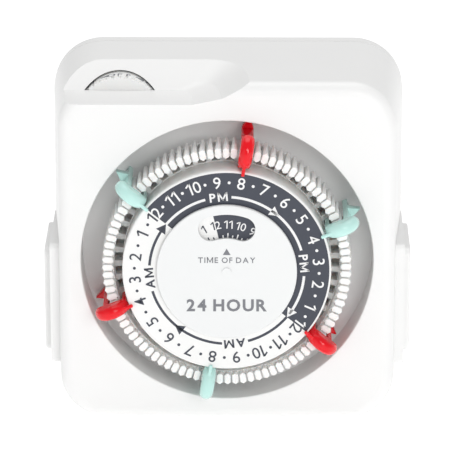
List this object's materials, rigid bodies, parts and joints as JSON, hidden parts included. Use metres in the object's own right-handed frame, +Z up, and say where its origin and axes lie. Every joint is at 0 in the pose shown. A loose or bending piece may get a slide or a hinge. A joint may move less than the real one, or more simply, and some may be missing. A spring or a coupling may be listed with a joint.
{
  "type": "programmable timer",
  "caption": "White plug-in mechanical timer with a day dial, red and green trippers, a thumb override drum and grounded side outlets.",
  "frame": {"origin": "on the dial's axis, at the flat back of the housing where it meets the wall", "axes": "+Z up, +X to the right seen from the front, the front looks along -Y"},
  "size_m": [0.0876, 0.0676, 0.085],
  "materials": {
    "white_shell": "fine satin",
    "white_ring": "satin",
    "dial_print": "printed satin",
    "cap_white": "satin",
    "red_clip": "glossy",
    "mint_clip": "glossy",
    "gear_plastic": "natural",
    "steel": "bright",
    "brass_contact": "rolled",
    "plate_metal": "rolled",
    "lead_black": "insulated"
  },
  "bodies": {
    "housing": {"front_cover": "white_shell", "rear_cover": "white_shell", "case_screws": "steel", "left_outlet_face": "white_shell", "right_outlet_face": "white_shell", "line_blade": "brass_contact", "neutral_blade": "brass_contact", "ground_pin": "brass_contact", "centre_cap": "cap_white", "mechanism_plate": "plate_metal", "plate_screws": "steel", "dial_spindle": "steel", "cap_button": "steel", "motor_case": "steel", "motor_cap": "steel", "motor_screws": "steel", "motor_line_lead": "lead_black", "motor_neutral_lead": "lead_black", "intermediate_axle": "steel", "fixed_contact": "brass_contact", "moving_contact": "brass_contact", "lever_pin": "steel", "detent_spring": "steel", "line_busbar": "brass_contact", "neutral_busbar": "brass_contact", "ground_busbar": "brass_contact", "load_busbar": "brass_contact", "left_line_clip": "brass_contact", "left_neutral_clip": "brass_contact", "left_ground_clip": "brass_contact", "right_line_clip": "brass_contact", "right_neutral_clip": "brass_contact", "right_ground_clip": "brass_contact"},
    "dial": {"dial_ring": "white_ring", "dial_plate": "dial_print", "dial_hub": "gear_plastic", "dial_gear": "gear_plastic", "clutch_spring": "steel", "hub_clip": "steel"},
    "intermediate_gear": {"intermediate_gear": "gear_plastic"},
    "motor_pinion": {"motor_pinion": "gear_plastic"},
    "override": {"override_drum": "white_ring", "star_wheel": "white_ring", "switch_cam": "gear_plastic", "override_shaft": "steel"},
    "switch_lever": {"switch_lever": "gear_plastic"},
    "off_tripper_1": {"off_tripper_1": "red_clip"},
    "off_tripper_2": {"off_tripper_2": "red_clip"},
    "off_tripper_3": {"off_tripper_3": "red_clip"},
    "on_tripper_1": {"on_tripper_1": "mint_clip"},
    "on_tripper_2": {"on_tripper_2": "mint_clip"},
    "on_tripper_3": {"on_tripper_3": "mint_clip"}
  },
  "joints": [
    {"name": "dial_turn", "type": "hinge", "parent": "housing", "child": "dial", "pos_m": [0, -0.0425, 0], "axis": [0, 1, 0], "continuous": true},
    {"name": "intermediate_turn", "type": "hinge", "parent": "housing", "child": "intermediate_gear", "pos_m": [0.00652, -0.0232, -0.02434], "axis": [0, 1, 0], "continuous": true},
    {"name": "motor_pinion_turn", "type": "hinge", "parent": "housing", "child": "motor_pinion", "pos_m": [-0.00829, -0.0208, -0.022], "axis": [0, 1, 0], "continuous": true},
    {"name": "override_turn", "type": "hinge", "parent": "housing", "child": "override", "pos_m": [-0.02551, -0.0257, 0.0309], "axis": [0, 1, 0], "continuous": true},
    {"name": "switch_lever_swing", "type": "hinge", "parent": "housing", "child": "switch_lever", "pos_m": [-0.01881, -0.0165, 0.0371], "axis": [0, -1, 0], "range_deg": [0, 5], "stiffness_Nm_per_rad": 0.002, "springref_deg": -11.46},
    {"name": "off_tripper_1_pull", "type": "slide", "parent": "dial", "child": "off_tripper_1", "axis": [0, -1, 0], "range_m": [0, 0.018]},
    {"name": "off_tripper_2_pull", "type": "slide", "parent": "dial", "child": "off_tripper_2", "axis": [0, -1, 0], "range_m": [0, 0.018]},
    {"name": "off_tripper_3_pull", "type": "slide", "parent": "dial", "child": "off_tripper_3", "axis": [0, -1, 0], "range_m": [0, 0.018]},
    {"name": "on_tripper_1_pull", "type": "slide", "parent": "dial", "child": "on_tripper_1", "axis": [0, -1, 0], "range_m": [0, 0.018]},
    {"name": "on_tripper_2_pull", "type": "slide", "parent": "dial", "child": "on_tripper_2", "axis": [0, -1, 0], "range_m": [0, 0.018]},
    {"name": "on_tripper_3_pull", "type": "slide", "parent": "dial", "child": "on_tripper_3", "axis": [0, -1, 0], "range_m": [0, 0.018]}
  ],
  "couplings": [
    {"joint": "intermediate_turn", "follows": "dial_turn", "ratio": -6},
    {"joint": "motor_pinion_turn", "follows": "dial_turn", "ratio": 24}
  ]
}
